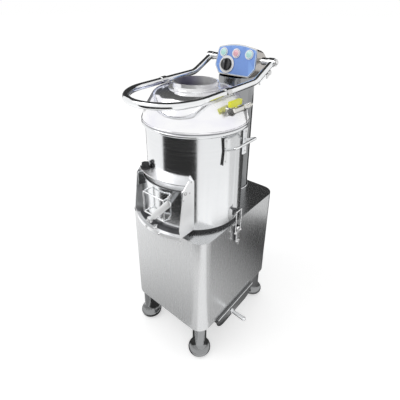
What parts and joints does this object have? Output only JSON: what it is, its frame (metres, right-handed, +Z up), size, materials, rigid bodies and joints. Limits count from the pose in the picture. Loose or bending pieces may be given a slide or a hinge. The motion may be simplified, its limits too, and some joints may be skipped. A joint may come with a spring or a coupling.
{
  "type": "potato peeler",
  "caption": "Floor-standing electric potato peeler with a tilting clear lid and safety bar, discharge chute, control column and peel tray",
  "frame": {"origin": "Middle of the outline's plan, on the floor", "axes": "+Z up, the chute and its door face -Y, the control column stands at +Y, the operator's right is +X"},
  "size_m": [0.527, 0.6543, 1.2543],
  "materials": {
    "brushed_panels": "satin brushed stainless sheet",
    "polished_steel": "bright polished stainless",
    "dark_steel": "satin steel in shade",
    "black_rubber": "matt black rubber",
    "black_plastic": "black moulded plastic",
    "abrasive": "rough silicon carbide coating",
    "machined_steel": "turned steel",
    "cast_iron": "painted casting",
    "motor_paint": "dark motor enamel",
    "blue_panel": "blue laminated panel plate",
    "green_button": "pale green translucent cap",
    "red_button": "pale red translucent cap",
    "clear_lid": "clear polycarbonate",
    "brass_valve": "plated brass",
    "yellow_lever": "yellow plastic grip"
  },
  "bodies": {
    "frame": {"cabinet_shell": "brushed_panels", "floor_pan": "brushed_panels", "access_cover": "brushed_panels", "foot_front_left": "polished_steel", "foot_front_right": "polished_steel", "foot_rear_left": "polished_steel", "foot_rear_right": "polished_steel", "base_gasket": "black_rubber", "drum_shell": "polished_steel", "abrasive_liner": "abrasive", "bearing_housing": "cast_iron", "bearings": "machined_steel", "shaft_seal": "black_rubber", "drive_belt": "black_rubber", "motor": "motor_paint", "motor_mount": "cast_iron", "waste_pipe": "dark_steel", "catch_trough": "dark_steel", "chute": "brushed_panels", "chute_hood": "brushed_panels", "door_bumper": "black_rubber", "door_keeper": "polished_steel", "side_handle_left": "polished_steel", "side_handle_right": "polished_steel", "latch_bases": "polished_steel", "latch_keepers": "polished_steel", "column": "brushed_panels", "drum_stay": "black_rubber", "control_box": "brushed_panels", "control_panel": "blue_panel", "switch_blocks": "black_plastic", "bar_pivots": "polished_steel", "cable_gland": "black_plastic"},
    "rotor": {"turntable": "abrasive", "turntable_nut": "machined_steel", "main_shaft": "machined_steel", "driven_pulley": "cast_iron"},
    "motor_rotor": {"motor_shaft": "machined_steel"},
    "lid_frame": {"safety_bar": "polished_steel", "wing_bolt": "polished_steel", "lid_dome": "clear_lid", "feed_collar": "clear_lid", "lid_gasket": "black_rubber", "lid_saddles": "polished_steel", "valve_body": "brass_valve"},
    "valve_handle": {"valve_lever": "yellow_lever"},
    "door_leaf": {"door": "brushed_panels", "door_seal": "black_rubber", "door_handle": "polished_steel"},
    "cam": {"cam_lever": "polished_steel"},
    "left_latch": {"latch_lever_left": "polished_steel"},
    "left_bail": {"latch_bail_left": "polished_steel"},
    "right_latch": {"latch_lever_right": "polished_steel"},
    "right_bail": {"latch_bail_right": "polished_steel"},
    "start": {"start_button": "green_button"},
    "stop": {"stop_button": "red_button"},
    "pulse": {"pulse_button": "green_button"},
    "knob": {"timer_knob": "black_plastic"},
    "tray": {"peel_tray": "dark_steel", "tray_handle": "polished_steel"}
  },
  "joints": [
    {"name": "turntable_spin", "type": "hinge", "parent": "frame", "child": "rotor", "pos_m": [-0.0265, -0.03683, 0.661], "axis": [0, 0, 1], "continuous": true},
    {"name": "motor_spin", "type": "hinge", "parent": "frame", "child": "motor_rotor", "pos_m": [-0.0265, 0.19817, 0.41], "axis": [0, 0, 1], "continuous": true},
    {"name": "lid_tilt", "type": "hinge", "parent": "frame", "child": "lid_frame", "pos_m": [-0.0265, 0.24825, 1.19751], "axis": [-1, 0, 0], "range_deg": [0, 75]},
    {"name": "valve_turn", "type": "hinge", "parent": "lid_frame", "child": "valve_handle", "pos_m": [0.1715, -0.07183, 1.103], "axis": [0, 0, 1], "range_deg": [0, 90]},
    {"name": "door_swing", "type": "hinge", "parent": "frame", "child": "door_leaf", "pos_m": [-0.0265, -0.23084, 0.812], "axis": [-1, 0, 0], "range_deg": [0, 85]},
    {"name": "cam_turn", "type": "hinge", "parent": "door_leaf", "child": "cam", "pos_m": [-0.0425, -0.27683, 0.669], "axis": [0, -1, 0], "range_deg": [0, 90]},
    {"name": "latch_open_right", "type": "hinge", "parent": "frame", "child": "right_latch", "pos_m": [0.1815, -0.02284, 0.592], "axis": [0, -1, 0], "range_deg": [0, 100]},
    {"name": "bail_swing_right", "type": "hinge", "parent": "right_latch", "child": "right_bail", "pos_m": [0.185, -0.02284, 0.577], "axis": [0, 1, 0], "range_deg": [0, 100]},
    {"name": "latch_open_left", "type": "hinge", "parent": "frame", "child": "left_latch", "pos_m": [-0.2345, -0.02284, 0.592], "axis": [0, 1, 0], "range_deg": [0, 100]},
    {"name": "bail_swing_left", "type": "hinge", "parent": "left_latch", "child": "left_bail", "pos_m": [-0.238, -0.02284, 0.577], "axis": [0, -1, 0], "range_deg": [0, 100]},
    {"name": "start_press", "type": "slide", "parent": "frame", "child": "start", "axis": [0, 0.9707, -0.2402], "range_m": [0, 0.003], "stiffness_N_per_m": 300},
    {"name": "stop_press", "type": "slide", "parent": "frame", "child": "stop", "axis": [0, 0.9707, -0.2402], "range_m": [0, 0.003], "stiffness_N_per_m": 300},
    {"name": "pulse_press", "type": "slide", "parent": "frame", "child": "pulse", "axis": [0, 0.9707, -0.2402], "range_m": [0, 0.003], "stiffness_N_per_m": 300},
    {"name": "knob_turn", "type": "hinge", "parent": "frame", "child": "knob", "pos_m": [-0.0685, 0.20945, 1.17478], "axis": [0, 0.9707, -0.2402], "range_deg": [0, 300]},
    {"name": "tray_pull", "type": "slide", "parent": "frame", "child": "tray", "axis": [1, 0, 0], "range_m": [0, 0.25]}
  ],
  "couplings": [
    {"joint": "motor_spin", "follows": "turntable_spin", "ratio": 3.5417},
    {"joint": "bail_swing_right", "follows": "latch_open_right", "ratio": 1},
    {"joint": "bail_swing_left", "follows": "latch_open_left", "ratio": 1}
  ]
}
